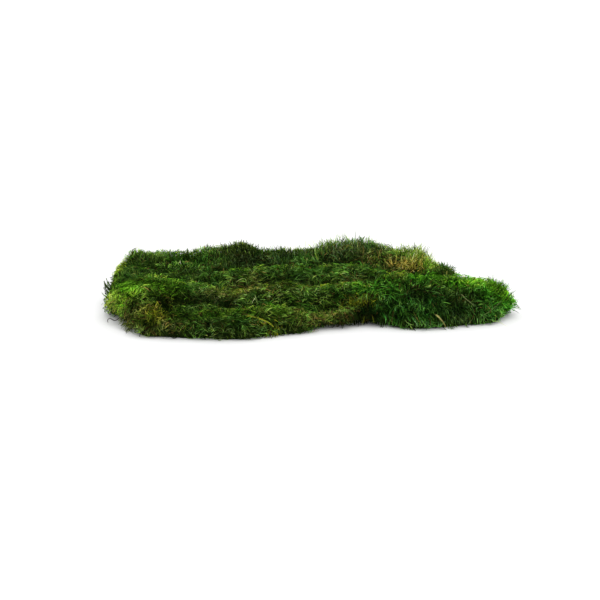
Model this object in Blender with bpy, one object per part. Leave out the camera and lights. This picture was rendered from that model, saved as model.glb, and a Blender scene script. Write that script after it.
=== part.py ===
"""A clump of sheet moss on a flat surface: one rumpled mat, about 400 mm wide, 245 mm deep and 43 mm high.

The mat grew as one piece, so it is one solid that reaches the tips of its shoots. What is caught in it is
separate: dry stems, a straw flake, a yellow strand, a twig stub and wiry black roots. Metres, +Z up, +X to
the right and +Y to the back, with the origin under the middle of the clump.
"""

import math

import bmesh
import bpy
import numpy as np
from mathutils import Vector, noise
from mathutils.geometry import delaunay_2d_cdt

# Driving dimensions
THICKNESS = 0.0235  # the mat between its folds
GRID = 0.0052  # spacing of the points that carry the upper surface
EDGE_STEP = 0.0064  # spacing of the points along the mat's edge
EDGE_ROUND = 0.022  # how far in the upper surface takes to reach its full height
BELLY_HEIGHT = 0.009  # height at which the edge stands out furthest
TUFT_SIZE = 0.0165  # distance between the tufts that cover the mat
TUFT_RISE = 0.0070  # how far a tuft stands out of the gaps round it
TUFT_STRETCH = 1.5  # how much longer the tufts are from left to right than from front to back
RUMPLE_SIZE = 0.030  # length of the soft waves in the surface, from front to back
RUMPLE_RISE = 0.0045
FLOOR_GAP = 0.0006  # least height of anything above the flat underside
PIECE_GAP = 0.0004  # clearance round each stem or root where it sits in the mat

# The edge of the mat seen from above, anticlockwise from the front left corner
OUTLINE = [
    (-0.156, -0.112), (-0.144, -0.116), (-0.126, -0.117), (-0.099, -0.120), (-0.078, -0.123),
    (-0.056, -0.121), (-0.040, -0.113), (-0.022, -0.108), (-0.002, -0.101), (0.012, -0.095),
    (0.024, -0.091), (0.036, -0.087), (0.048, -0.084), (0.061, -0.084), (0.076, -0.088),
    (0.092, -0.092), (0.116, -0.088), (0.135, -0.082), (0.153, -0.079), (0.169, -0.073),
    (0.183, -0.060), (0.193, -0.047), (0.192, -0.032), (0.184, -0.017), (0.172, -0.005),
    (0.158, 0.008), (0.151, 0.026), (0.146, 0.048), (0.140, 0.070), (0.132, 0.090),
    (0.122, 0.106), (0.100, 0.112), (0.074, 0.117), (0.048, 0.119), (0.024, 0.115),
    (0.000, 0.111), (-0.030, 0.111), (-0.056, 0.113), (-0.078, 0.118), (-0.098, 0.114),
    (-0.122, 0.111), (-0.148, 0.111), (-0.172, 0.110), (-0.191, 0.102), (-0.201, 0.084),
    (-0.204, 0.060), (-0.202, 0.032), (-0.199, 0.007), (-0.196, -0.018), (-0.195, -0.040),
    (-0.191, -0.060), (-0.181, -0.076), (-0.169, -0.090), (-0.162, -0.102),
]

# Long folds: half width, how far each rises above (or sinks below) THICKNESS, and the line that it follows
FOLDS = {
    "back roll": (0.024, 0.0070, [
        (-0.182, 0.080), (-0.150, 0.094), (-0.060, 0.094), (0.040, 0.096), (0.125, 0.088),
    ]),
    "left rim": (0.018, 0.0030, [(-0.182, 0.080), (-0.186, 0.030), (-0.180, -0.020)]),
    "back gutter": (0.017, -0.0080, [(-0.150, 0.040), (-0.060, 0.046), (0.030, 0.050), (0.100, 0.040)]),
    "terrace": (0.014, 0.0100, [
        (-0.080, -0.004), (-0.032, 0.016), (0.020, 0.018), (0.062, 0.006), (0.090, -0.006),
    ]),
    "valley": (0.015, -0.0070, [(-0.120, 0.002), (-0.085, -0.020), (-0.030, -0.024), (0.055, -0.026)]),
    "middle fold": (0.012, 0.0085, [(-0.052, -0.062), (-0.024, -0.054), (0.020, -0.047), (0.058, -0.050)]),
    "dark gutter": (0.011, -0.0125, [
        (-0.130, -0.068), (-0.100, -0.066), (-0.058, -0.078), (0.030, -0.070),
    ]),
    "front roll": (0.012, 0.0010, [(-0.100, -0.104), (-0.075, -0.106), (-0.040, -0.101), (-0.020, -0.098)]),
    "right lobe": (0.023, 0.0130, [(0.070, -0.050), (0.092, -0.044), (0.120, -0.043), (0.146, -0.044)]),
    "lobe gutter": (0.009, -0.0090, [(0.052, -0.070), (0.058, -0.034), (0.074, -0.014), (0.110, -0.006)]),
}

# Rounded lumps: radius, rise, and middle
LUMPS = {
    "back mound": (0.034, 0.0115, (0.052, 0.092)),
    "back mound, left": (0.018, 0.0045, (0.014, 0.094)),
    "back mound, right": (0.014, 0.0030, (0.064, 0.096)),
    "dark clump": (0.016, 0.0065, (-0.074, 0.096)),
    "left lobe": (0.034, 0.0110, (-0.152, -0.046)),
    "left lobe, right": (0.020, 0.0050, (-0.112, -0.042)),
    "left corner": (0.020, 0.0040, (-0.168, -0.070)),
    "front left lump": (0.018, -0.0010, (-0.138, -0.096)),
    "front left hollow": (0.012, -0.0060, (-0.136, -0.078)),
    "front left gap": (0.018, -0.0085, (-0.116, -0.099)),
    "front middle": (0.026, -0.0065, (0.016, -0.084)),
    "lobe top": (0.022, 0.0050, (0.094, -0.044)),
    "right tip": (0.018, 0.0050, (0.174, -0.040)),
    "right end": (0.014, -0.0060, (0.194, -0.034)),
    "back right bump": (0.013, 0.0065, (0.139, 0.036)),
    "back right corner": (0.014, -0.0020, (0.128, 0.080)),
    "yellow patch": (0.020, 0.0020, (0.104, 0.086)),
    "back rim, left": (0.016, 0.0025, (-0.118, 0.098)),
    "back rim, middle": (0.018, 0.0040, (-0.024, 0.098)),
    "back left corner": (0.018, -0.0035, (-0.172, 0.088)),
}

# Stretches where the edge lifts off the surface below: half length, height, and middle
LIFTS = {
    "arch left of the lobe": (0.040, 0.007, (0.036, -0.092)),
    "left corner": (0.034, 0.006, (-0.186, -0.074)),
    "right tip": (0.030, 0.006, (0.196, -0.052)),
}

# Main colours, linear
MOSS = (0.045, 0.095, 0.012)
STRAW = (0.42, 0.33, 0.14)
DRY_YELLOW = (0.33, 0.27, 0.03)
BARK = (0.030, 0.018, 0.010)
ROOT = (0.012, 0.009, 0.007)

# Loose pieces caught in the mat: colour, half width, half thickness, and the line of each from its buried end
STRAYS = {
    "dry_stem": (STRAW, 0.0005, 0.0005, [
        (0.1359, -0.0602, 0.0240), (0.1379, -0.0661, 0.0269), (0.1411, -0.0706, 0.0243),
        (0.1452, -0.0750, 0.0217), (0.1485, -0.0781, 0.0192),
    ]),
    "thin_stem": (STRAW, 0.00045, 0.00045, [
        (0.1764, -0.0562, 0.0170), (0.1751, -0.0633, 0.0196), (0.1694, -0.0701, 0.0172),
        (0.1628, -0.0774, 0.0145), (0.1570, -0.0796, 0.0114),
    ]),
    "straw_flake": (STRAW, 0.0013, 0.0004, [
        (0.1109, -0.0842, 0.0145), (0.1132, -0.0908, 0.0137), (0.1161, -0.0906, 0.0107),
        (0.1192, -0.0894, 0.0065), (0.1211, -0.0891, 0.0025),
    ]),
    "yellow_strand": (DRY_YELLOW, 0.0012, 0.0005, [
        (-0.0621, -0.1080, 0.0168), (-0.0574, -0.1106, 0.0199), (-0.0540, -0.1116, 0.0194),
        (-0.0496, -0.1118, 0.0184), (-0.0451, -0.1124, 0.0168), (-0.0400, -0.1128, 0.0146),
        (-0.0366, -0.1130, 0.0124),
    ]),
    "twig_stub": (BARK, 0.0012, 0.0011, [
        (-0.0384, -0.1036, 0.0065), (-0.0384, -0.1106, 0.0050), (-0.0386, -0.1148, 0.0022),
    ]),
    "black_root": (ROOT, 0.0005, 0.0005, [
        (-0.1530, -0.1046, 0.0080), (-0.1568, -0.1091, 0.0078), (-0.1610, -0.1081, 0.0070),
        (-0.1654, -0.1051, 0.0060), (-0.1679, -0.1043, 0.0036), (-0.1682, -0.1037, 0.0015),
    ]),
    "front_root": (ROOT, 0.00045, 0.00045, [
        (-0.1495, -0.1086, 0.0055), (-0.1530, -0.1146, 0.0058), (-0.1545, -0.1151, 0.0035),
        (-0.1549, -0.1131, 0.0014),
    ]),
    "curly_root": (ROOT, 0.00045, 0.00045, [
        (-0.1770, -0.0691, 0.0075), (-0.1821, -0.0752, 0.0050), (-0.1851, -0.0756, 0.0058),
        (-0.1881, -0.0734, 0.0064), (-0.1904, -0.0717, 0.0040), (-0.1902, -0.0707, 0.0014),
    ]),
}


def smooth_line(points, closed=False, per_span=8):
    """Points along the smooth line (Catmull-Rom) through the given points."""
    points = np.array(points)
    if not closed:
        points = np.concatenate([[2 * points[0] - points[1]], points, [2 * points[-1] - points[-2]]])
    count = len(points)
    starts = range(count) if closed else range(1, count - 2)
    line = []
    for i in starts:
        p0, p1, p2, p3 = (points[(i + k) % count] for k in (-1, 0, 1, 2))
        for t in np.linspace(0, 1, per_span, endpoint=False):
            line.append(
                0.5 * (2 * p1 + (p2 - p0) * t + (2 * p0 - 5 * p1 + 4 * p2 - p3) * t**2
                       + (3 * p1 - p0 - 3 * p2 + p3) * t**3)
            )
    return np.array(line + ([line[0]] if closed else [points[-2]]))


def evenly_spaced(line, step):
    """Points about a step apart along a closed line."""
    along = np.concatenate([[0], np.cumsum(np.linalg.norm(np.diff(line, axis=0), axis=1))])
    at = np.linspace(0, along[-1], round(along[-1] / step), endpoint=False)
    return np.stack([np.interp(at, along, line[:, k]) for k in range(2)], axis=1)


def distance_to_line(points, line, closed=False):
    """How far each point in the plan is from a line of straight pieces."""
    line = np.array(line)
    ends = np.roll(line, -1, axis=0) if closed else line[1:]
    nearest = np.full(len(points), np.inf)
    for a, b in zip(line, ends):
        along = np.clip((points - a) @ (b - a) / ((b - a) @ (b - a)), 0, 1)
        nearest = np.minimum(nearest, np.linalg.norm(points - a - along[:, None] * (b - a), axis=1))
    return nearest


def bell(distance, width):
    return np.exp(-((distance / width) ** 2))


def inside(points, outline):
    """Whether each point in the plan lies within a closed outline."""
    x, y = points[:, :1], points[:, 1:]
    x0, y0 = outline.T
    x1, y1 = np.roll(outline, -1, axis=0).T
    crossed = ((y0 > y) != (y1 > y)) & (x < x0 + (y - y0) * (x1 - x0) / np.where(y1 == y0, 1e-12, y1 - y0))
    return crossed.sum(axis=1) % 2 == 1


def lift_at(points):
    """How far the edge nearest to each point hangs above the surface below."""
    height = np.zeros(len(points))
    for half_length, rise, middle in LIFTS.values():
        apart = np.linalg.norm(points - np.array(middle), axis=1) / half_length
        height = np.maximum(height, rise * np.clip(1.15 * np.cos(np.clip(apart, 0, 1) * math.pi / 2), 0, 1))
    return height


def upper_height(points, inset):
    """Height of the upper surface: the folds and lumps, rounded off towards the edge, which is inset 0."""
    full = np.full(len(points), THICKNESS)
    for half_width, rise, line in FOLDS.values():
        full += rise * bell(distance_to_line(points, line), half_width)
    for radius, rise, middle in LUMPS.values():
        full += rise * bell(np.linalg.norm(points - np.array(middle), axis=1), radius)
    full += RUMPLE_RISE * np.array([noise.noise(Vector((x / 1.8, y, 0)) / RUMPLE_SIZE) for x, y in points])
    belly = BELLY_HEIGHT + lift_at(points)
    share = 1 - np.clip(inset / EDGE_ROUND, 0, 1)
    return belly + (full - belly) * np.sqrt(1 - share**2)


def outward(outline):
    """The direction out of the mat at each point of its edge."""
    along = np.roll(outline, -1, axis=0) - np.roll(outline, 1, axis=0)
    return np.stack([along[:, 1], -along[:, 0]], axis=1) / np.linalg.norm(along, axis=1)[:, None]


def edge_rings(outline):
    """Rings of points round the edge, from the flat underside up to where the upper surface begins."""
    out, lift = outward(outline), lift_at(outline)
    under = [
        (0.0040 + 3.0 * lift, 0 * lift),
        (0.0030 + 0.4 * lift, FLOOR_GAP + 0.9 * lift),
        (0.0010 + 0 * lift, 0.4 * BELLY_HEIGHT + lift),
    ]
    rings = [np.column_stack([outline - out * inset[:, None], height]) for inset, height in under]
    for inset in (0.0, 0.0012, 0.0040, 0.0085):
        ring = outline - out * inset
        rings.append(np.column_stack([ring, upper_height(ring, np.full(len(ring), inset))]))
    return rings


def hexagonal_grid(low, high, step):
    """Points in staggered rows between two corners."""
    rows = np.arange(low[1], high[1], step * math.sqrt(3) / 2)
    return np.array([
        (x, y) for i, y in enumerate(rows) for x in np.arange(low[0] + (i % 2) * step / 2, high[0], step)
    ])


def upper_surface(rim, outline):
    """Points of the upper surface within its rim, and its triangles, which count the rim's points first."""
    grid = hexagonal_grid(outline.min(axis=0), outline.max(axis=0), GRID)
    grid = grid[inside(grid, rim)]
    grid = grid[distance_to_line(grid, rim, closed=True) > 0.6 * GRID]
    plan = np.concatenate([rim, grid])
    loop = [(i, (i + 1) % len(rim)) for i in range(len(rim))]
    faces = delaunay_2d_cdt([Vector(p) for p in plan], loop, [], 1, 1e-7)[2]
    inset = distance_to_line(grid, outline, closed=True)
    return np.column_stack([grid, upper_height(grid, inset)]), faces


def raise_tufts(bm):
    """Pushes the surface out into tufts with creases between them, everywhere but on the flat underside."""
    bm.normal_update()
    moves = {}
    for vert in bm.verts:
        if vert.co.z > FLOOR_GAP / 2:
            place = Vector((vert.co.x / TUFT_STRETCH, vert.co.y, vert.co.z)) / TUFT_SIZE
            from_middle = min(noise.voronoi(place)[0][0], 1)
            moves[vert] = vert.normal * TUFT_RISE * (0.40 - from_middle**1.4)
    for vert, move in moves.items():
        vert.co += move
        vert.co.z = max(vert.co.z, FLOOR_GAP)


def finish(name, colour):
    """A plain dull material in the piece's main colour."""
    material = bpy.data.materials.new(name)
    material.use_nodes = True
    shader = material.node_tree.nodes["Principled BSDF"]
    shader.inputs["Base Color"].default_value = (*colour, 1)
    shader.inputs["Roughness"].default_value = 0.8
    return material


def new_object(name, bm):
    """Puts the mesh, with its faces turned outwards, into the scene as an object."""
    bmesh.ops.recalc_face_normals(bm, faces=bm.faces)
    mesh = bpy.data.meshes.new(name)
    bm.to_mesh(mesh)
    bm.free()
    obj = bpy.data.objects.new(name, mesh)
    bpy.context.scene.collection.objects.link(obj)
    return obj


def moss_mat():
    """The mat: rings round its edge, the upper surface within them, and one flat face that it rests on."""
    outline = evenly_spaced(smooth_line(OUTLINE, closed=True), EDGE_STEP)
    rings = edge_rings(outline)
    inner, faces = upper_surface(rings[-1][:, :2], outline)
    bm = bmesh.new()
    loops = [[bm.verts.new(point) for point in ring] for ring in rings]
    count = len(outline)
    for lower, upper in zip(loops, loops[1:]):
        for i in range(count):
            j = (i + 1) % count
            bm.faces.new((lower[i], lower[j], upper[j], upper[i]))
    top = loops[-1] + [bm.verts.new(point) for point in inner]
    for face in faces:
        bm.faces.new([top[i] for i in face])
    bm.faces.new(loops[0][::-1])
    bmesh.ops.recalc_face_normals(bm, faces=bm.faces)
    raise_tufts(bm)
    bmesh.ops.triangulate(bm, faces=[face for face in bm.faces if len(face.verts) == 4])
    mat = new_object("moss_mat", bm)
    mat.data.materials.append(finish("moss", MOSS))
    return mat


def rod(name, line, half_width, half_thickness, sides=6, taper=0.4):
    """A thin closed piece along a line of points, with flat ends, narrower towards its far end."""
    bm = bmesh.new()
    rings = []
    across = Vector((0, 0, 1))
    for i, point in enumerate(line):
        along = Vector(line[min(i + 1, len(line) - 1)] - line[max(i - 1, 0)]).normalized()
        across = (across - across.dot(along) * along).normalized()
        sideways = along.cross(across)
        size = 1 - taper * i / (len(line) - 1)
        ring = []
        for turn in np.linspace(0, 2 * math.pi, sides, endpoint=False):
            offset = half_thickness * math.cos(turn) * across + half_width * math.sin(turn) * sideways
            ring.append(bm.verts.new(Vector(point) + size * offset))
        rings.append(ring)
    for first, second in zip(rings, rings[1:]):
        for k in range(sides):
            bm.faces.new((first[k - 1], first[k], second[k], second[k - 1]))
    bm.faces.new(rings[0])
    bm.faces.new(rings[-1])
    return new_object(name, bm)


def stray(name, colour, half_width, half_thickness, points):
    """One loose stem, flake, twig or root."""
    piece = rod(name, smooth_line(points, per_span=4), half_width, half_thickness)
    piece.data.materials.append(finish(name, colour))
    piece.data.shade_smooth()
    piece.data.set_sharp_from_angle(angle=math.radians(50))
    return piece


def cut_pocket(mat, name, half_width, half_thickness, points):
    """Makes room in the mat for a loose piece, with the clearance all round it."""
    line = smooth_line(points, per_span=4)
    line[0] += 2 * PIECE_GAP * (line[0] - line[1]) / np.linalg.norm(line[0] - line[1])
    cutter = rod(f"{name}_pocket", line, half_width + 1.8 * PIECE_GAP, half_thickness + 1.8 * PIECE_GAP)
    cutter.hide_render = True
    cutter.display_type = "WIRE"
    cut = mat.modifiers.new(name, "BOOLEAN")
    cut.operation = "DIFFERENCE"
    cut.object = cutter


def centre(pieces):
    """Moves everything so that the origin is under the middle of the clump."""
    points = np.array([vert.co for piece in pieces for vert in piece.data.vertices])
    middle = (points.min(axis=0) + points.max(axis=0)) / 2
    for obj in bpy.data.objects:
        obj.location = (-middle[0], -middle[1], 0)


def main():
    for obj in list(bpy.data.objects):
        bpy.data.objects.remove(obj)
    mat = moss_mat()
    pieces = [mat]
    for name, (colour, half_width, half_thickness, points) in STRAYS.items():
        pieces.append(stray(name, colour, half_width, half_thickness, points))
        cut_pocket(mat, name, half_width, half_thickness, points)
    centre(pieces)


main()
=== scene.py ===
"""A clump of sheet moss on a pale floor: tens of thousands of leafy shoots over a felted body darkened with
painted shade.
"""

import math

import bmesh
import bpy
import numpy as np
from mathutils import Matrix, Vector


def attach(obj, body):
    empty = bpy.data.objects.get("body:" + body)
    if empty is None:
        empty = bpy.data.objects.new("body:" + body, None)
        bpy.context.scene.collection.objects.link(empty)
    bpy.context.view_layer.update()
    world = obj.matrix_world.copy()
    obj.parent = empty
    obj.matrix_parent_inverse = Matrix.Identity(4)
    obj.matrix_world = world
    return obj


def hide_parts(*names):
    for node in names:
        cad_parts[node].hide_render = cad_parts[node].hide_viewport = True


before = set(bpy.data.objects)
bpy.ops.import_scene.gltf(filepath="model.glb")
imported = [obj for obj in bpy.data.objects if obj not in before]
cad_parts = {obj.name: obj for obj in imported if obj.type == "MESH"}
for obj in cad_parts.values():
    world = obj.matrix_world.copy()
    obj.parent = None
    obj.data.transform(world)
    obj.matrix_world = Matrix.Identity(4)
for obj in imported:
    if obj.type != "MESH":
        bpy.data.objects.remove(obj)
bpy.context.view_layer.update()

SEED = 11
MM = 0.001

# ---- measures of a shoot
LEAFY_SHOOTS = 34000
THIN_SHOOTS = 30000
SHOOT_SIZES = (0.85, 1.2)  # the thinnest and the thickest, as shares of the usual one
SHOOT_LENGTHS = (0.75, 1.3)  # the shortest and the longest, as shares of their patch's
LEAVES = 13
LEAFY_FROM = 0.30  # share of the shoot, from its root, without leaves
LEAF_LENGTH = 1.25 * MM
LEAF_WIDTH = 0.55 * MM
LEAF_LENGTHS = (0.75, 1.25)  # the shortest and the longest, as shares of the usual one
LEAF_TAPER = (1.05, 0.8)  # the same for the lowest and the highest leaves
LEAF_STRAY = 0.35  # how far a leaf strays from its place, as a share of the gap between two
LEAF_SHADES = (0.8, 1.18)  # how bright a leaf's base and its tip are
OPENING = (32, 8)  # degrees between leaf and stem, at the lowest and at the highest leaves
OPENING_SPREAD = 8
GOLDEN_ANGLE = math.radians(137.5)  # the turn from one leaf to the next
TURN_SPREAD = 0.35
STEM_WIDTH = 0.55 * MM
STEM_RUNGS = np.array([0.12, 0.45, 0.75, 0.97])  # where along the shoot its stem has points
STEM_TAPER = np.array([1.2, 1.0, 0.8, 0.4])  # how wide the stem is at each of them
STEM_SHADES = (0.6, 0.8)  # how bright it is at its foot and at its top
THIN_WIDTH = 0.58 * MM
THIN_RUNGS = np.array([0.30, 0.55, 0.80, 1.0])
THIN_TAPER = np.array([0.8, 1.0, 0.8, 0.15])
# The higher these powers, the nearer to the tip the young colour starts
YOUNG_LEAF = 1.8
YOUNG_STEM = 2.2
YOUNG_THIN = 1.6

# ---- how shoots stand in the mat
TIP_DEPTH = 5.5 * MM  # how far inside the mat's surface the deepest tips end
TIP_STANDOUT = 1.6 * MM  # how far outside it the highest end
THIN_STANDOUT = 2.2 * MM  # the same for the thin shoots
HIGH_BIAS = 1.5  # above 1, more tips end high than deep
THIN_RISE = 0.4  # how much of the leafy shoots' rise out of the mat the thin ones have
TUSSOCK = 9 * MM  # distance over which neighbouring shoots lean the same way
START_SPREAD = 0.35  # how far a shoot's lower half strays from the mat's normal
START_LEAN = 0.3  # how much of its patch's lean the lower half takes
UNDERSIDE = 0.2 * MM  # the mat rests on the faces below this, and nothing grows there
OVERHANG = -0.2  # faces that point down more than this are under a lifted edge
OVERHANG_GROWTH = 0.4  # share of the usual number of shoots that grow there
BUNDLE_POINTS = 60000  # points of the mat that the roots of the bundles are picked from
BUNDLE_LENGTHS = (0.7, 1.2)  # the same as SHOOT_LENGTHS, in a bundle
BUNDLE_STRAY = 0.3  # how far the upper half of a bundle's shoot turns by chance
ROOTED = 2.5 * MM  # how far inside the mat the bundles start
FLOOR_GAP = 0.3 * MM
INNER_DEPTH = 5 * MM  # how far inside the mat's surface the felted body lies
INNER_VOXEL = 4 * MM

# ---- how colours vary from shoot to shoot
LIGHT_SPREAD = 0.68  # spread of the logarithm of the shoots' brightness
LIGHT_LIMIT = 1.0  # the most that it rises by chance
LIGHT_TUFTS = (7 * MM, 0.25)  # size of the tufts that are bright or dark together, and how much
BUNDLE_LIGHT_SPREAD = 0.60
BUNDLE_YOUTH = 0.2  # how much of its young colour the older part of a bundle's shoot has
HUE_SPREAD = 0.12
HUE_TUFTS = (12 * MM, 0.10)
PALLOR = (-0.1, 0.35)  # middle and spread of the logarithm of how much blue the shoots have
PALLOR_LIMIT = 0.3
USUAL_LIGHT = 1.4  # brightness at which a shoot has its patch's own hue
PALING_WITH_LIGHT = (0.12, -0.04, 0.22)  # powers of brightness that red, green and blue gain: brighter shoots are paler
GREEN_SHIFT = -0.2  # how far green moves when red and blue move by 1
DEAD_LIGHT = 0.7  # power of the patch's brightness in its dead shoots
DEAD_FOOT = 0.4  # how bright a dead shoot's older part is
HIGH_TIPS = 1.14  # painted light: how bright shoots are whose tips lie highest
DEEP_TIPS = 0.32  # painted shade: and those whose tips lie deepest
HOLLOW_REACHES = (8 * MM, 22 * MM)  # how far round a point its hollowness is measured
HOLLOW_SHADES = (0.32, 0.08)  # painted shade in hollows and painted light on crests: how much darker each millimetre of it makes, over each reach
HOLLOW_LIMITS = (-0.4, 0.8)
RIM_GLOW = (2.2, 1.9, 0.9)  # painted backlight: how many times brighter, by colour, slopes that face away are
GLOW_FACING = (1 / 7, 3 / 7)  # between these shares of facing away the glow sets in
GLOW_HEIGHTS = (7.2 * MM, 19.2 * MM)  # and between these heights
GLOW_ENDS = (166 * MM, 186 * MM)  # and this far out slopes that face left or right have it too
END_GLOW = 0.7  # as much as this
FRONT_LOSS = 0.9  # and less where they face the camera too


def mix(a, b, share):
    return a + (b - a) * share


# What a patch sets, and how many numbers each takes
GROWTH = {"young": 3, "old": 3, "lean": 3, "grain": 3, "upright": 1, "droop": 1, "spread": 1, "swirl": 1,
          "length": 1, "dead": 1}


class Patch:
    """How the shoots grow round one place on the mat. Places, reaches and lengths are in millimetres.

    The tips point upright along the mat's normal, lean in a fixed direction, lie either way along the
    grain and droop down steep slopes. They differ by spread one by one, and by swirl tussock by tussock.
    Of all shoots the share dead is brown. Where patches meet, weight says how strongly each one counts.
    Light makes its colours brighter or darker, partly for the moss's own tone and partly as painted light
    and shade.
    """

    def __init__(self, at, reach, young, old, upright=0.4, lean=(0, 0, 0), grain=(0, 0, 0), droop=0.3,
                 spread=0.38, swirl=0.5, length=13, dead=0.06, light=1, weight=1):
        self.at = np.array(at, float) * MM
        self.reach = np.array(reach, float) * MM
        self.weight = weight
        colours = light * np.array([*young, *old])
        self.values = np.array([*colours, *lean, *grain, upright, droop, spread, swirl, length * MM, dead])


# Colours, linear: young tips, and the older part of the shoot below them
GREEN = ((0.119, 0.284, 0.042), (0.008, 0.024, 0.003))
LAWN = ((0.152, 0.320, 0.022), (0.010, 0.028, 0.002))
LEAF_GREEN = ((0.110, 0.320, 0.020), (0.008, 0.028, 0.002))
SEA_GREEN = ((0.063, 0.203, 0.030), (0.004, 0.016, 0.003))
BRIGHT = ((0.182, 0.466, 0.024), (0.015, 0.049, 0.003))
LIME = ((0.190, 0.466, 0.019), (0.015, 0.049, 0.002))
EMERALD = ((0.088, 0.354, 0.022), (0.006, 0.031, 0.002))
DEEP = ((0.104, 0.209, 0.028), (0.006, 0.016, 0.002))
YELLOW_GREEN = ((0.270, 0.446, 0.041), (0.022, 0.043, 0.004))
OLIVE = ((0.159, 0.250, 0.041), (0.016, 0.024, 0.004))
BROWN_GREEN = ((0.200, 0.257, 0.050), (0.022, 0.024, 0.004))
# Near black: painted shade in the hollows and pits, and the dark shoots' own colour
NEAR_BLACK = ((0.057, 0.101, 0.020), (0.004, 0.007, 0.001))
MUSTARD = ((0.235, 0.277, 0.018), (0.022, 0.022, 0.001))
AMBER = ((1.000, 0.760, 0.150), (0.160, 0.105, 0.018))
RUST = ((0.400, 0.280, 0.070), (0.080, 0.055, 0.014))
PALE = ((0.648, 0.810, 0.216), (0.162, 0.297, 0.027))
# Painted backlight: the bright fringe strands along the back and the ends
GLOW = ((0.620, 0.860, 0.060), (0.020, 0.040, 0.002))
GREY_GREEN = ((0.100, 0.190, 0.052), (0.006, 0.017, 0.006))
STRAW_GREEN = ((0.340, 0.420, 0.075), (0.030, 0.040, 0.008))
# Moss green darkened as painted shade, for the hollow under the left lobe
SHADED_MOSS = ((0.050, 0.101, 0.005), (0.003, 0.007, 0.001))
# Dark: the dark clump's own colour, and painted shade at the right foot
DARK_AND_SHADED = ((0.062, 0.080, 0.030), (0.004, 0.005, 0.002))
YELLOW = ((0.702, 0.675, 0.041), (0.351, 0.351, 0.027))
DEAD_BROWN = (0.142, 0.103, 0.027)

# Ways of growing that several patches share
BRISTLY = dict(upright=1.1, spread=0.32, swirl=0.32, length=9)
COMBED = dict(upright=0.2, grain=(1, 0, 0), spread=0.3)
DROOPING = dict(upright=0.25, droop=1.1, length=15)

# The growth far from every patch
ELSEWHERE = Patch((0, 0, 0), (1, 1, 1), *GREEN, grain=(0.6, 0, 0), light=0.85, weight=0.15)

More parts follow.
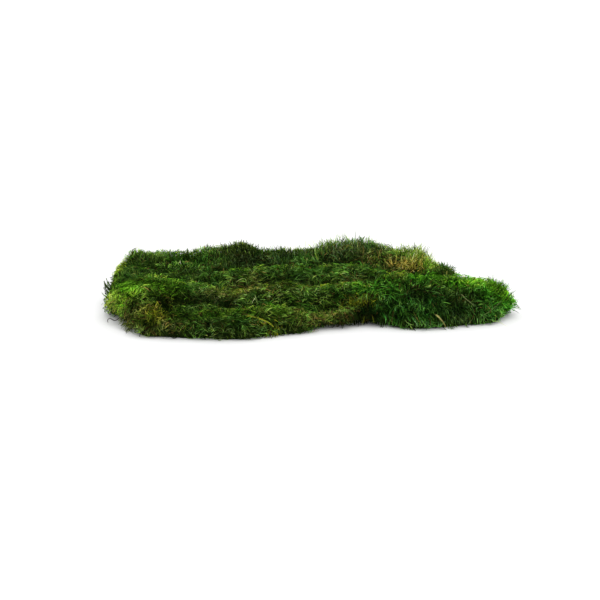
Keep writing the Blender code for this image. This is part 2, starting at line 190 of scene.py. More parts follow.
PATCHES = {
    "left rim": Patch((-168, 85, 28), (40, 30, 30), *DEEP, **BRISTLY, light=1.19),
    "left slope": Patch(
        (-172, 20, 24), (30, 34, 20), *GREEN, lean=(-0.2, -0.2, 0), grain=(0.6, 0, 0), light=0.49),
    "back rim": Patch((-112, 88, 28), (35, 26, 30), *GREEN, **BRISTLY, dead=0.12, light=1.15),
    # Painted backlight on the back edges: bright young tips, painted brighter still
    "back fringe": Patch(
        (-60, 117, 20), (130, 8, 12), *BRIGHT, upright=1, lean=(0, 0, 0.4), swirl=0.32, length=9,
        light=1.3),
    "mound fringe": Patch((60, 121, 24), (60, 8, 14), *BRIGHT, upright=1.2, lean=(0, 0, 0.6), light=1.3),
    "dark clump": Patch(
        (-72, 90, 33), (17, 20, 30), *DARK_AND_SHADED, upright=1.3, spread=0.5, length=12, light=1.4, weight=2),
    "clump's right side": Patch(
        (-58, 88, 32), (8, 10, 9), *NEAR_BLACK, upright=1.3, spread=0.5, light=0.6, weight=2),
    "back middle": Patch((-30, 88, 30), (32, 22, 30), *GREY_GREEN, **BRISTLY, light=0.79),
    "back saddle": Patch((3, 73, 27), (13, 12, 8), *GREEN, upright=1.2, light=2.5),
    "back mound": Patch(
        (42, 84, 35), (36, 22, 30), *GREY_GREEN, upright=1.5, lean=(0, 0, 0.5), spread=0.4, length=17,
        dead=0.2, light=0.9),
    "yellow stalks": Patch(
        (106, 58, 24), (12, 7, 5), *MUSTARD, upright=1, spread=0.8, length=14, light=0.6, weight=1.5),
    "brown stalks": Patch(
        (73, 68, 29), (18, 10, 7), *BROWN_GREEN, upright=1.2, spread=0.6, dead=0.3, light=2.14),
    "under the stalks": Patch((98, 42, 24), (18, 9, 8), *BROWN_GREEN, upright=0.5, spread=0.6, dead=0.3),
    "loose shoots": Patch((112, 84, 30), (20, 10, 10), *YELLOW_GREEN, upright=1.6, spread=0.5, light=1.28),
    "loose shoots' end": Patch(
        (129, 64, 23), (7, 9, 8), *YELLOW_GREEN, upright=1.6, spread=0.5, light=1.6, weight=2),
    "mound's right end": Patch((90, 76, 34), (9, 10, 7), *LEAF_GREEN, upright=1.2, light=0.56),
    "back right bump": Patch((142, 30, 26), (12, 16, 12), *OLIVE, upright=1, length=10, light=0.89),
    "back gutter": Patch(
        (-20, 52, 20), (90, 20, 12), *GREEN, upright=0.3, grain=(0.7, 0, 0), spread=0.5, light=0.51),
    "terrace": Patch((-5, 12, 31), (75, 13, 12), *GREEN, **COMBED, lean=(0.1, -0.4, 0), light=0.66),
    "valley": Patch(
        (-47, -34, 27), (25, 18, 10), *BROWN_GREEN, upright=0.1, grain=(1, 0.1, 0), spread=0.3, dead=0.25,
        light=1.58, weight=1.5),
    "valley, right": Patch((40, -26, 24), (36, 14, 12), *OLIVE, **COMBED, dead=0.12, light=1.58),
    "lobe's left end": Patch(
        (84, -42, 42), (10, 8, 4), *BROWN_GREEN, upright=0.6, spread=0.6, dead=0.2, weight=2),
    "lobe's left slope": Patch(
        (72, -64, 31), (13, 9, 8), *EMERALD, lean=(0, -0.4, 0), light=0.63, weight=1.5),
    "fold's right end": Patch(
        (54, -55, 28), (17, 9, 7), *EMERALD, lean=(0, -0.4, 0), light=0.75, weight=1.5),
    "middle fold": Patch((15, -48, 30), (55, 9, 8), *GREEN, **COMBED, lean=(0.1, -0.3, 0), light=0.77),
    "middle slope": Patch(
        (10, -63, 20), (60, 9, 8), *GREEN, upright=0.2, grain=(0.9, 0, 0), droop=0.6, spread=0.3,
        light=1.85),
    # Painted shade in the hollow below the left lobe
    "left hollow": Patch(
        (-130, -62, 22), (17, 12, 9), *SHADED_MOSS, upright=0.3, spread=0.5, light=0.91, weight=3),
    # Painted shade in the gutter behind the front roll
    "dark gutter": Patch(
        (-92, -62, 18), (36, 12, 9), *NEAR_BLACK, upright=0.2, grain=(0.9, 0, 0), spread=0.5, light=0.39,
        weight=1.5),
    "front roll": Patch((-50, -100, 20), (60, 9, 6), *LAWN, **COMBED, lean=(0.3, -0.2, 0), light=0.58),
    "front slope": Patch(
        (-50, -116, 8), (75, 10, 9), *GREEN, upright=0.2, lean=(0.6, 0, 0), grain=(0.8, 0, 0), droop=0.5,
        spread=0.3, light=0.63),
    "left lobe": Patch(
        (-152, -48, 33), (16, 10, 8), *LIME, upright=0.5, lean=(-0.5, -0.4, 0.1), spread=0.45, length=14,
        light=0.15, weight=2),
    "lobe's tail": Patch((-126, -40, 33), (16, 8, 6), *LEAF_GREEN, lean=(0.3, -0.4, 0), light=0.63),
    "left edge": Patch(
        (-172, -68, 24), (15, 13, 12), *LIME, upright=0.3, lean=(-0.2, -0.3, -0.4), length=14, light=1.4),
    "left straw": Patch(
        (-182, -70, 19), (7, 12, 8), *STRAW_GREEN, lean=(-0.4, 0, -0.3), light=1.42, weight=2),
    "left face": Patch(
        (-158, -92, 17), (13, 13, 10), *BROWN_GREEN, lean=(-0.3, 0, -0.2), dead=0.2, light=0.58),
    "mustard": Patch(
        (-135, -100, 19), (11, 11, 8), *MUSTARD, upright=0.6, spread=0.6, light=1.01, weight=1.5),
    "left front": Patch((-130, -117, 8), (22, 9, 8), *BROWN_GREEN, upright=0.5, dead=0.25, light=0.39),
    "right lobe": Patch((105, -38, 37), (42, 14, 9), *EMERALD, lean=(0.1, -0.5, 0), dead=0.02, light=0.78),
    "right face": Patch(
        (112, -80, 18), (46, 14, 13), *SEA_GREEN, upright=0.25, lean=(0.2, -0.1, -0.3), droop=1.1,
        spread=0.5, length=12, dead=0.02, light=1.18, weight=1.5),
    # Painted shade in the pits of the right face and at its foot
    "right pit": Patch((140, -74, 20), (12, 11, 12), *NEAR_BLACK, **DROOPING, light=0.75, weight=3),
    "right hollow": Patch((106, -73, 27), (11, 8, 7), *NEAR_BLACK, **DROOPING, light=0.5, weight=2),
    "right foot": Patch(
        (142, -82, 12), (12, 8, 8), *DARK_AND_SHADED, upright=0.3, droop=1.1, length=14, light=0.39, weight=2),
    "right tip": Patch(
        (182, -48, 24), (22, 22, 16), *EMERALD, upright=0.6, lean=(0.8, -0.1, 0), dead=0.02, light=1.12),
    "right tip, front": Patch((170, -68, 17), (16, 9, 10), *SEA_GREEN, upright=0.3, droop=0.8, light=0.54),
    "tip crest": Patch((162, -46, 34), (28, 8, 6), *BRIGHT, upright=0.7, light=1.67),
    "arch stalks": Patch(
        (48, -62, 20), (13, 8, 7), *BROWN_GREEN, upright=0.3, droop=0.7, dead=0.4, light=0.98),
    "arch": Patch(
        (34, -88, 10), (18, 9, 8), *OLIVE, upright=0.3, grain=(0.6, 0, 0), spread=0.3, length=10, dead=0.3,
        light=1.15),
    # Painted shade under the lifted front edge at the arch
    "arch hollow": Patch((54, -82, 8), (10, 10, 8), *NEAR_BLACK, upright=0.3, light=0.15, weight=5),
    "middle slope's brown": Patch(
        (-17, -62, 22), (13, 6, 6), *BROWN_GREEN, upright=0.2, grain=(0.9, 0, 0), spread=0.3, light=1.11,
        weight=1.5),
    "beside the stalks": Patch(
        (17, -60, 17), (7, 5, 6), *BROWN_GREEN, upright=0.3, droop=0.6, light=2.35, weight=1.5),
    "front foot": Patch(
        (-62, -119, 6), (14, 6, 5), *BROWN_GREEN, upright=0.3, droop=0.5, light=0.7, weight=1.5),
    "front foot, left": Patch(
        (-112, -121, 5), (12, 6, 5), *BROWN_GREEN, upright=0.3, droop=0.5, light=0.79, weight=1.5),
    "front middle": Patch(
        (2, -97, 11), (26, 10, 8), *OLIVE, upright=0.3, grain=(0.6, 0, 0), droop=0.4, spread=0.3, dead=0.2,
        light=1.36),
}

# Partly painted shade and painted light, partly the moss's own tone: where the shoots are darker or
# brighter than those round them: the place, the reach and how many times
SHADES = {
    "left rim's end": ((-189, 62, 24), (12, 14, 12), 0.49),
    "left ledge": ((-137, 62, 22), (30, 8, 6), 2.6),
    "rim's top": ((-127, 88, 29), (14, 8, 6), 0.3),
    "left gully": ((-122, 12, 21), (24, 9, 9), 0.3),
    "left shoulder": ((-182, -14, 24), (16, 12, 14), 0.3),
    "behind the left lobe": ((-167, -29, 32), (12, 8, 6), 0.3),
    "clump's foot": ((-87, 54, 20), (14, 10, 7), 0.3),
    "clump's top": ((-74, 91, 35), (12, 10, 6), 0.54),
    "right of the clump": ((-44, 90, 28), (12, 10, 8), 0.64),
    "mound's foot": ((46, 66, 29), (22, 8, 7), 0.3),
    "terrace's foot": ((-20, -2, 22), (26, 9, 7), 0.54),
    "terrace's slope": ((10, 3, 25), (12, 8, 6), 2.6),
    "terrace's end": ((39, 2, 30), (12, 6, 6), 2.04),
    "valley's back": ((-72, -14, 22), (14, 8, 6), 2.6),
    "behind the right lobe": ((75, -50, 41), (14, 6, 5), 0.42),
    "lobe's dip": ((132, -42, 34), (14, 10, 6), 0.3),
    "bump's foot": ((118, 20, 26), (20, 14, 8), 0.3),
    "bump's top": ((134, 36, 27), (8, 8, 6), 2.6),
    "hollow's rim": ((-127, -61, 21), (8, 6, 5), 2.6),
    "lobe's front": ((-155, -74, 29), (10, 8, 6), 2.6),
    "front roll's glint": ((-109, -89, 18), (8, 6, 5), 2.6),
    "gutter's front": ((-104, -77, 22), (20, 7, 5), 0.16),
    "gutter's end": ((-60, -66, 17), (10, 7, 5), 2.6),
    "left gap": ((-110, -99, 16), (14, 10, 8), 0.37),
    "left corner": ((-167, -84, 9), (12, 10, 6), 0.67),
    "mustard's edge": ((-125, -114, 13), (7, 6, 6), 2.43),
    "front fold, left": ((-141, -113, 13), (9, 7, 6), 0.3),
    "front dip": ((-70, -115, 15), (24, 8, 6), 0.41),
    "front fold, middle": ((-12, -103, 8), (16, 8, 9), 0.37),
    "front lip": ((-80, -120, 5), (40, 5, 4), 2.6),
    "front lip, left": ((-150, -108, 6), (14, 8, 5), 2.25),
    "front lip, right": ((-31, -108, 3), (14, 6, 4), 2.6),
    "middle slope's end": ((27, -54, 22), (9, 6, 6), 0.36),
    "lobe's back": ((-147, -30, 33), (12, 10, 5), 2.6),
    "arch's depth": ((54, -81, 9), (11, 10, 7), 0.2),
    "beside the right lobe": ((60, -51, 30), (9, 7, 6), 2.25),
    "right hollow": ((106, -73, 28), (14, 8, 6), 0.3),
    "right shoulder": ((79, -83, 14), (10, 6, 9), 0.35),
    "right foot": ((118, -87, 12), (9, 5, 5), 0.3),
    "right edge": ((160, -71, 20), (10, 8, 8), 0.57),
    "under the left shoulder": ((-174, -36, 29), (12, 8, 6), 0.3),
    "crest's back": ((-18, -53, 35), (16, 5, 5), 0.3),
    "clump's right foot": ((-76, -8, 27), (12, 8, 6), 0.77),
    "left crest": ((-102, -51, 24), (16, 6, 6), 2.6),
    "middle crest": ((-33, -64, 26), (10, 6, 5), 2.33),
    "front shadow": ((-2, -104, 3), (18, 7, 4), 0.55),
    "front shadow, left": ((-63, -119, 5), (14, 5, 5), 0.3),
    "behind the right lobe's end": ((68, -4, 27), (10, 8, 7), 0.53),
    "beside the arch": ((24, -60, 13), (8, 6, 6), 0.63),
    "middle gap": ((-12, -65, 24), (8, 6, 5), 0.57),
    "under the mustard": ((-120, -95, 14), (7, 6, 7), 0.3),
    "gutter's dip": ((-81, -62, 15), (9, 7, 6), 0.78),
    "lobe's foot": ((85, -87, 8), (8, 5, 6), 0.32),
    "pit's depth": ((142, -76, 18), (11, 8, 9), 0.49),
    "gutter's back": ((-80, -50, 20), (10, 6, 5), 2.6),
    "crest's shadow": ((-36, -55, 33), (11, 5, 5), 0.3),
    "left lobe's shadow": ((-137, -73, 22), (8, 6, 6), 0.3),
    "hollow's front": ((-126, -65, 16), (7, 6, 5), 2.6),
    "brown stalks' foot": ((81, 63, 24), (9, 7, 5), 2.6),
    "rim's right end": ((-100, 84, 27), (10, 8, 6), 2.36),
    "rim's gap": ((-128, 77, 27), (8, 8, 6), 0.3),
    "right tip's foot": ((171, -73, 9), (9, 6, 5), 2.6),
    "pit's edge": ((150, -75, 19), (7, 6, 6), 2.6),
    "right hollow's front": ((113, -80, 24), (6, 6, 5), 0.33),
    "right shoulder's top": ((82, -77, 25), (8, 6, 5), 0.3),
    "right tip's dip": ((167, -62, 27), (7, 6, 5), 0.65),
    "right tip's top": ((183, -40, 30), (7, 7, 5), 2.6),
    "gutter's middle": ((-62, -52, 22), (7, 5, 5), 0.54),
    "middle slope's foot": ((3, -75, 17), (8, 6, 6), 0.46),
    "right lip": ((100, -88, 4), (40, 6, 4), 2.26),
    "right lip's end": ((160, -76, 5), (24, 7, 4), 2.6),
}


class Bundle:
    """Shoots that stand out of the mat round one place. Places, spreads and lengths are in millimetres.

    They set out ahead, fanned out by chance, and their upper halves turn towards bend.
    """

    def __init__(self, count, at, spread, ahead, colours, fan=0.4, bend=(0, 0, 0), length=12, width=1,
                 leafy=False):
        self.count = count
        self.at = np.array(at, float) * MM
        self.spread = np.array(spread, float) * MM
        self.ahead = np.array(ahead, float)
        self.bend = np.array(bend, float)
        self.fan = fan
        self.length = length * MM
        self.width = width
        self.leafy = leafy
        self.young = np.array(colours[0])
        self.old = mix(np.array(colours[1]), self.young, BUNDLE_YOUTH)


BUNDLES = {
    "mound blades, left": Bundle(
        90, (22, 92, 35), (14, 8, 8), (-0.3, 0, 1), YELLOW_GREEN, fan=0.6, bend=(-0.3, 0, 0.3),
        length=11.5),
    "mound blades": Bundle(90, (26, 94, 36), (10, 8, 6), (0, 0, 1), GREEN, fan=0.5, length=8),
    "mound blades, right": Bundle(40, (64, 92, 36), (6, 8, 6), (0, 0, 1), GREEN, fan=0.5, length=7),
    "mound stalks": Bundle(70, (44, 78, 33), (22, 7, 8), (0, -0.2, 1), PALE, fan=0.6, length=6, width=0.45),
    "yellow tangle": Bundle(
        230, (105, 59, 25), (9, 5, 4), (-0.2, -0.5, 0.7), AMBER, fan=1.2, length=9, width=0.9),
    "brown tangle": Bundle(
        80, (80, 63, 27), (14, 5, 4), (-0.3, -0.3, 0.5), RUST, fan=1.6, length=9, width=0.6),
    "loose shoots": Bundle(
        60, (112, 84, 29), (12, 9, 8), (0.1, 0, 1), YELLOW_GREEN, fan=0.6, length=11, leafy=True),
    "loose threads": Bundle(
        140, (118, 82, 28), (12, 10, 8), (0.3, 0, 1), PALE, fan=0.7, length=11, width=0.8),
    "bump fuzz": Bundle(120, (141, 34, 26), (6, 7, 6), (0.1, 0, 1), GREEN, fan=0.7, length=8, leafy=True),
    "dark left shoots": Bundle(
        16, (-192, -5, 14), (3, 8, 4), (-1, -0.1, 0.3), NEAR_BLACK, fan=0.35, bend=(0.6, 0, 1.3), length=13,
        width=1.7, leafy=True),
    "left lobe arcs": Bundle(
        300, (-146, -46, 34), (18, 7, 5), (-0.7, -0.6, 0.4), BRIGHT, fan=0.3, bend=(-0.3, -0.6, -1.2),
        length=15, width=0.8),
    "left edge arcs": Bundle(
        70, (-170, -68, 26), (6, 6, 5), (-0.1, -0.6, 0.4), YELLOW_GREEN, fan=0.3, bend=(0, -0.5, -1.4)),
    "right tip outgrowth": Bundle(
        50, (190, -42, 13), (5, 12, 7), (0.8, -0.1, 0.2), EMERALD, fan=0.5, length=4.5, leafy=True),
    "right tip fringe": Bundle(
        170, (182, -46, 25), (6, 8, 5), (0.3, 0, 1), BRIGHT, fan=0.5, length=8.5, leafy=True),
    "right tip tails": Bundle(
        7, (195, -52, 10), (2, 4, 3), (1, -0.1, 0.1), DEEP, fan=0.3, bend=(0, 0, -0.4)),
    # Painted backlight: thin bright strands along the back edge and both ends
    "back glow": Bundle(
        1500, (-40, 110, 27), (120, 8, 7), (0, 0.2, 1), GLOW, fan=0.5, length=6.5, width=0.55),
    "left glow": Bundle(350, (-196, 68, 20), (5, 20, 8), (-1, 0, 0.6), GLOW, fan=0.5, length=5, width=0.5),
    "right glow": Bundle(
        220, (165, -30, 27), (30, 10, 6), (0.3, 0.2, 1), GLOW, fan=0.5, length=5, width=0.5),
    "back edge": Bundle(
        1600, (-40, 107, 27), (110, 8, 7), (0, 0.1, 1), GREEN, fan=0.9, length=5.5, leafy=True),
    "clump spikes": Bundle(
        150, (-80, 96, 33), (18, 9, 6), (0, 0, 1), OLIVE, fan=0.7, length=7, width=1.2, leafy=True),
    "right of the clump": Bundle(
        130, (-40, 96, 29), (12, 9, 6), (0, 0, 1), DEEP, fan=0.6, length=8, leafy=True),
    "left corner hangers": Bundle(
        70, (-166, -88, 7), (9, 8, 4), (-0.5, -0.7, -0.2), BROWN_GREEN, fan=0.5, bend=(0, 0, -0.4),
        length=9, leafy=True),
    "lone hair": Bundle(1, (184, -26, 22), (2, 2, 2), (0.1, 0, 1), DEEP, fan=0),
    "hanging green": Bundle(
        8, (68, -80, 4), (2, 2, 2), (0, -0.5, -1), GREEN, fan=0.2, length=8, leafy=True),
    "hanging middle": Bundle(
        6, (94, -88, 4), (2, 2, 2), (0.1, -0.5, -1), DEEP, fan=0.3, length=8, leafy=True),
    "hanging dark": Bundle(
        14, (131, -85, 4), (4, 2, 2), (0.4, -0.8, -0.6), DEEP, fan=0.3, length=8, leafy=True),
    "hanging right": Bundle(
        6, (148, -82, 4), (3, 2, 2), (0.4, -0.8, -0.6), DEEP, fan=0.3, length=7, leafy=True),
    "fallen thread": Bundle(
        2, (169, -74, 4), (2, 2, 2), (1, -0.5, -0.2), PALE, fan=0.1, length=16, width=0.5),
    "ochre hangers": Bundle(50, (-29, -108, 9), (4, 2, 4), (0.1, -0.5, -0.8), MUSTARD, length=8, width=0.7),
    "arch stalks": Bundle(220, (49, -60, 22), (10, 4, 4), (0.1, -0.8, -0.4), MUSTARD, fan=0.6, length=10),
    "arch threads": Bundle(6, (50, -80, 17), (7, 3, 2), (0.1, -0.6, -1), MUSTARD, fan=0.3, width=0.4),
    "yellow wisps": Bundle(
        30, (-44, -106, 18), (6, 2, 2), (1, -0.3, -0.3), YELLOW, fan=0.25, length=8, width=0.7),
}


# ---- small helpers
def unit(vectors):
    return vectors / np.maximum(np.linalg.norm(vectors, axis=-1, keepdims=True), 1e-12)


def random_units(rng, count):
    return unit(rng.normal(size=(count, 3)))


def ramp(values, low, high):
    """0 up to low, 1 from high on, and rising evenly between them."""
    return np.clip((values - low) / (high - low), 0, 1)


def closeness(points, at, reach):
    """1 for a point at the place, and less and less for one beyond its reach."""
    return np.exp(-(((points - at) / reach) ** 2).sum(axis=1, keepdims=True))


def smooth_noise(points, size, rng, channels=1, waves=32):
    """Smooth random values about 0, with a spread of 1, that change over about the given size."""
    # The waves are 1.2 to 3.3 times as long as the size
    directions = random_units(rng, waves) * rng.uniform(0.6, 1.7, (waves, 1)) * math.pi / size
    phases = rng.uniform(0, 2 * math.pi, (waves, channels))
    total = np.zeros((len(points), channels))
    for direction, phase in zip(directions, phases):
        total += np.sin((points @ direction)[:, None] + phase)
    return total / math.sqrt(waves / 2)


# ---- the mat's surface
def hollowness(points, normals, reach, batch=400):
    """How far the mat's surface lies, at each point, below what is round it."""
    depth = np.empty(len(points))
    for start in range(0, len(points), batch):
        rows = slice(start, start + batch)
        apart = points[None] - points[rows, None]
        weight = np.exp(-(apart**2).sum(axis=2) / reach**2)
        above = np.einsum("ijk,ik->ij", apart, normals[rows])
        depth[rows] = (weight * above).sum(axis=1) / weight.sum(axis=1)
    return depth


class Surface:
    """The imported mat, with the points that its shading splits joined again."""

    def __init__(self):
        bm = bmesh.new()
        bm.from_mesh(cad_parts["moss_mat"].data)
        bmesh.ops.remove_doubles(bm, verts=bm.verts, dist=0.01 * MM)
        bmesh.ops.triangulate(bm, faces=bm.faces)
        bm.normal_update()
        self.points = np.array([vert.co for vert in bm.verts])
        self.normals = np.array([vert.normal for vert in bm.verts])
        self.faces = np.array([[vert.index for vert in face.verts] for face in bm.faces])
        bm.free()
        hollows = [hollowness(self.points, self.normals, reach) for reach in HOLLOW_REACHES]
        self.hollows = np.stack(hollows, axis=1)

    def scatter(self, count, rng):
        """(points, normals, hollows): spread evenly, thinner under lifted edges and none underneath."""
        corners = self.points[self.faces]
        cross = np.cross(corners[:, 1] - corners[:, 0], corners[:, 2] - corners[:, 0])
        area = np.linalg.norm(cross, axis=1)
        facing = cross[:, 2] / np.maximum(area, 1e-15)
        resting = corners[:, :, 2].max(axis=1) < UNDERSIDE
        weight = area * np.where(resting, 0, np.where(facing < OVERHANG, OVERHANG_GROWTH, 1))
        along = np.cumsum(weight)
        wanted = (np.arange(count) + rng.random(count)) / count * along[-1]
        face = self.faces[np.minimum(np.searchsorted(along, wanted), len(self.faces) - 1)]
        root, share = np.sqrt(rng.random(count)), rng.random(count)
        parts = np.stack([1 - root, root * (1 - share), root * share], axis=1)[:, :, None]
        points, normals, hollows = ((values[face] * parts).sum(axis=1)
                                    for values in (self.points, self.normals, self.hollows))
        return points, unit(normals), hollows


def shade_at(points):
    """How many times brighter each point is for the painted light and shade of the shades near it."""
    shade = np.ones((len(points), 1))
    for at, reach, light in SHADES.values():
        shade *= light ** closeness(points, np.array(at) * MM, np.array(reach) * MM)
    return shade


def growth_at(points):
    """The growth values at each point, blended from the patches near it."""
    values = np.tile(ELSEWHERE.weight * ELSEWHERE.values, (len(points), 1))
    total = np.full((len(points), 1), ELSEWHERE.weight)
    for patch in PATCHES.values():
        weight = patch.weight * closeness(points, patch.at, patch.reach)
        values += weight * patch.values
        total += weight
    ends = np.cumsum(list(GROWTH.values()))[:-1]
    return dict(zip(GROWTH, np.split(values / total, ends, axis=1)))


# ---- lines of growth
def shoot_lines(points, normals, growth, depth, rng, standout, rise):
    """Each shoot's curve as its root, middle and tip control points: it leaves the mat and bends over."""
    count = len(points)
    swirl = smooth_noise(points, TUSSOCK, rng, channels=3) * growth["swirl"]
    steep = 1 - np.clip(normals[:, 2:], 0, 1)
    down = np.array([0, 0, -1.0]) * growth["droop"] * steep
    grain = growth["grain"] * rng.choice([-1, 1], (count, 1))
    ahead = unit(normals * growth["upright"] * rise + growth["lean"] + grain + down
                 + swirl + random_units(rng, count) * growth["spread"])
    start = unit(normals * rise + START_SPREAD * random_units(rng, count) + START_LEAN * growth["lean"])
    length = growth["length"] * rng.uniform(*SHOOT_LENGTHS, (count, 1))
    tip = points + normals * mix(standout, -TIP_DEPTH, depth)
    middle = tip - 0.5 * length * ahead
    root = middle - 0.5 * length * start
    return root, middle, tip


def bundle_lines(bundle, points, normals, rng):
    """The bundle's curves, rooted just inside the mat at some of the points of its surface."""
    count = bundle.count
    near = np.exp(-0.5 * (((points - bundle.at) / bundle.spread) ** 2).sum(axis=1))
    chosen = rng.choice(len(points), count, p=near / near.sum())
    root = points[chosen] - ROOTED * normals[chosen]
    ahead = unit(bundle.ahead + bundle.fan * random_units(rng, count))
    length = bundle.length * rng.uniform(*BUNDLE_LENGTHS, (count, 1))
    middle = root + 0.5 * length * ahead
    tip = middle + 0.5 * length * unit(ahead + bundle.bend + BUNDLE_STRAY * random_units(rng, count))
    return root, middle, tip


def along_line(line, at):
    """(points, directions) on each curve at the shares in at, one row for each curve."""
    root, middle, tip = (control[:, None, :] for control in line)
    at = at[:, :, None]
    points = (1 - at) ** 2 * root + 2 * at * (1 - at) * middle + at**2 * tip
    return points, unit((1 - at) * (middle - root) + at * (tip - middle) + 1e-9)


def sideways(directions, reference):
    """Two directions at right angles to each direction and to each other."""
    across = unit(np.cross(directions, reference))
    return across, np.cross(directions, across)


# ---- strands
class Strands:
    """Many strands of one pattern: points, colours and map places as one row for each strand."""

    def __init__(self, points, colours, places, faces):
        points[:, :, 2] = np.maximum(points[:, :, 2], FLOOR_GAP)
        self.points = points
        self.colours = colours
        self.places = places
        self.faces = faces

    def only(self, chosen):
        return Strands(self.points[chosen], self.colours[chosen], self.places[chosen], self.faces)


def put_together(groups, axis):
    """[points, colours, places] of all groups: axis 0 adds strands, axis 1 adds parts to each."""
    return [np.concatenate([getattr(group, what) for group in groups], axis=axis)
            for what in ("points", "colours", "places")]


def join(groups):
    """The parts of a strand as one pattern."""
    start, faces = 0, []
    for group in groups:
        faces.append(group.faces + start)
        start += group.points.shape[1]
    return Strands(*put_together(groups, axis=1), np.concatenate(faces))


def ribbon(line, width, colours, at, reference):
    """A flat strip along each curve, with a pair of points at each share in at."""
    count, rungs = len(line[0]), len(at)
    points, along = along_line(line, np.tile(at, (count, 1)))
    across, _ = sideways(along, reference[:, None, :])
    half = 0.5 * width[..., None] * across
    both = np.stack([points - half, points + half], axis=2).reshape(count, 2 * rungs, 3)
    places = np.zeros((count, 2 * rungs, 2))
    places[:, 0::2, 0] = 0.15
    places[:, 1::2, 0] = 0.85
    places[:, :, 1] = np.repeat(at, 2)
    first = 2 * np.arange(rungs - 1)
    faces = np.concatenate([
        np.stack([first, first + 1, first + 3], axis=1), np.stack([first, first + 3, first + 2], axis=1)])
    return Strands(both, np.repeat(colours, 2, axis=1), places, faces)


def leaf_places(at):
    """Where each leaf's corners lie in its shoot's cell of the map, apart from the other leaves'."""
    lane = 0.15 + 0.6 * ((np.arange(LEAVES) * 0.618) % 1)
    places = np.zeros((*at.shape, 3, 2))
    for corner, (right, up) in enumerate(((0, 0), (0.1, 0), (0.05, 0.12))):
        places[:, :, corner, 0] = lane + right
        places[:, :, corner, 1] = 0.86 * at + up
    return places


def leaves(line, young, old, size, rng):
    """Pointed leaves in a spiral along each shoot, closing up towards its tip."""
    count = len(line[0])
    number = np.arange(LEAVES)
    step = (number + rng.uniform(-LEAF_STRAY, LEAF_STRAY, (count, LEAVES)) + 0.5) / LEAVES
    at = LEAFY_FROM + (1 - LEAFY_FROM) * step
    points, along = along_line(line, at)
    across, other = sideways(along, random_units(rng, count)[:, None, :])
    turn = GOLDEN_ANGLE * number + rng.uniform(0, 2 * math.pi, (count, 1))
    turn = (turn + rng.normal(0, TURN_SPREAD, turn.shape))[:, :, None]
    outward = np.cos(turn) * across + np.sin(turn) * other
    around = -np.sin(turn) * across + np.cos(turn) * other
    opening = mix(*OPENING, step**1.3) + rng.normal(0, OPENING_SPREAD, step.shape)
    opening = opening[:, :, None] * math.pi / 180
    ahead = np.cos(opening) * along + np.sin(opening) * outward
    stretch = rng.uniform(*LEAF_LENGTHS, step.shape) * mix(*LEAF_TAPER, step)
    length = LEAF_LENGTH * size[:, :, None] * stretch[:, :, None]
    half = 0.5 * LEAF_WIDTH * size[:, :, None] * around
    corners = np.stack([points - half, points + half, points + length * ahead], axis=2)
    shade = mix(old[:, None, :], young[:, None, :], (step**YOUNG_LEAF)[:, :, None])
    base, tip = (share * shade for share in LEAF_SHADES)
    colours = np.stack([base, base, tip], axis=2)
    flat = (count, 3 * LEAVES)
    return Strands(corners.reshape(*flat, 3), colours.reshape(*flat, 3), leaf_places(at).reshape(*flat, 2),
                   np.arange(3 * LEAVES).reshape(LEAVES, 3))


def leafy_shoots(line, young, old, size, rng):
    """Shoots with leaves round the stem, which is darker than they are."""
    width = STEM_WIDTH * size * STEM_TAPER
    foot, top = STEM_SHADES
    youth = STEM_RUNGS[None, :, None] ** YOUNG_STEM
    colours = mix(foot * old[:, None, :], top * young[:, None, :], youth)
    stem = ribbon(line, width, colours, STEM_RUNGS, random_units(rng, len(young)))
    return join([leaves(line, young, old, size, rng), stem])


def thin_shoots(line, young, old, size, rng):
    """Shoots with their leaves pressed flat, or none: narrow strips that end in a point."""
    width = THIN_WIDTH * size * THIN_TAPER
    colours = mix(old[:, None, :], young[:, None, :], THIN_RUNGS[None, :, None] ** YOUNG_THIN)
    return ribbon(line, width, colours, THIN_RUNGS, random_units(rng, len(young)))


def new_mesh_object(name, points, faces):
    mesh = bpy.data.meshes.new(name)
    mesh.vertices.add(len(points))
    mesh.vertices.foreach_set("co", points.astype(np.float32).ravel())
    mesh.loops.add(faces.size)
    mesh.loops.foreach_set("vertex_index", faces.astype(np.int32).ravel())
    mesh.polygons.add(len(faces))
    mesh.polygons.foreach_set("loop_start", np.arange(0, faces.size, faces.shape[1], dtype=np.int32))
    mesh.update(calc_edges=True)
    obj = bpy.data.objects.new(name, mesh)
    bpy.context.scene.collection.objects.link(obj)
    return obj


def strands_object(name, strands, material):
    """One piece of many strands. Each has its own cell in a map, so that its colours can be kept."""
    count, per_strand = strands.points.shape[:2]
    faces = (strands.faces[None] + per_strand * np.arange(count)[:, None, None]).reshape(-1, 3)
    obj = new_mesh_object(name, strands.points.reshape(-1, 3), faces)
    cells = math.ceil(math.sqrt(count))
    corner = np.stack([np.arange(count) % cells, np.arange(count) // cells], axis=1)[:, None, :]
    places = ((corner + 0.06 + 0.88 * strands.places) / cells).reshape(-1, 2)
    layer = obj.data.uv_layers.new(name="OFBake")
    layer.data.foreach_set("uv", places[faces.ravel()].astype(np.float32).ravel())
    tint = obj.data.color_attributes.new(name="tint", type="FLOAT_COLOR", domain="POINT")
    opaque = np.ones((count * per_strand, 4), np.float32)
    opaque[:, :3] = np.clip(strands.colours.reshape(-1, 3), 0, 1)
    tint.data.foreach_set("color", opaque.ravel())
    obj.data.materials.append(material)
    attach(obj, "root")


# ---- materials
def new_material(name):
    material = bpy.data.materials.new(name)
    material.use_nodes = True
    nodes = material.node_tree.nodes
    nodes.clear()
    return material, nodes, material.node_tree.links


def noise(nodes, links, coordinates, scale, detail, roughness=0.55):
    node = nodes.new("ShaderNodeTexNoise")
    node.inputs["Scale"].default_value = scale
    node.inputs["Detail"].default_value = detail
    node.inputs["Roughness"].default_value = roughness
    links.new(coordinates, node.inputs["Vector"])
    return node.outputs["Fac"]


